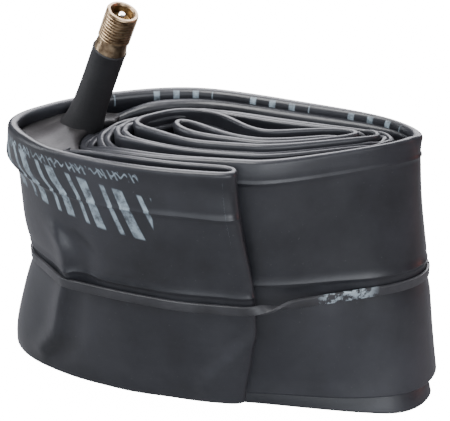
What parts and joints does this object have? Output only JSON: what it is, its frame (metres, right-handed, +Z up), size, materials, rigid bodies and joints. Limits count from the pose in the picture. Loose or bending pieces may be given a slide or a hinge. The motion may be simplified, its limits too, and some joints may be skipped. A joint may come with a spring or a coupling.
{
  "type": "bicycle inner tube",
  "caption": "Flattened bicycle inner tube wound into an oval roll, with a rubber-covered threaded valve standing up from it and a rubber band round it.",
  "frame": {"origin": "under the middle of the roll, at the level that its lowest turns rest on", "axes": "+Z up, +X along the long side of the roll away from the valve, +Y towards the back"},
  "size_m": [0.1022, 0.0515, 0.097],
  "materials": {
    "tube_rubber": "satin",
    "patch_rubber": "matte",
    "jacket_rubber": "matte",
    "stem_brass": "satin",
    "core_brass": "satin",
    "pin_metal": "polished",
    "spring_steel": "satin",
    "seal_rubber": "matte",
    "band_rubber": "satin"
  },
  "bodies": {
    "tube_body": {"tube": "tube_rubber", "valve_patch": "patch_rubber", "valve_rubber": "jacket_rubber", "stem": "stem_brass"},
    "core_body": {"core_barrel": "core_brass", "core_gasket": "seal_rubber", "core_spring": "spring_steel"},
    "plug_body": {"core_plug": "core_brass"},
    "pin_body": {"core_pin": "pin_metal", "core_cup": "core_brass", "core_seal": "seal_rubber"},
    "band_body": {"rubber_band": "band_rubber"}
  },
  "joints": [
    {"name": "core_lift", "type": "slide", "parent": "tube_body", "child": "core_body", "axis": [0.3583, -0.21, 0.9097], "range_m": [0, 0.0035]},
    {"name": "core_turn", "type": "hinge", "parent": "core_body", "child": "plug_body", "pos_m": [-0.02225, 0.0025, 0.09059], "axis": [0.3583, -0.21, 0.9097], "range_deg": [0, 1800]},
    {"name": "pin_press", "type": "slide", "parent": "core_body", "child": "pin_body", "axis": [-0.3583, 0.21, -0.9097], "range_m": [0, 0.0012], "deforming": ["core_spring"]},
    {"name": "band_slide", "type": "slide", "parent": "tube_body", "child": "band_body", "axis": [0, 0, 1], "range_m": [0, 0.045]}
  ],
  "couplings": [
    {"joint": "core_turn", "follows": "core_lift", "rad_per_m": 8904.7}
  ]
}
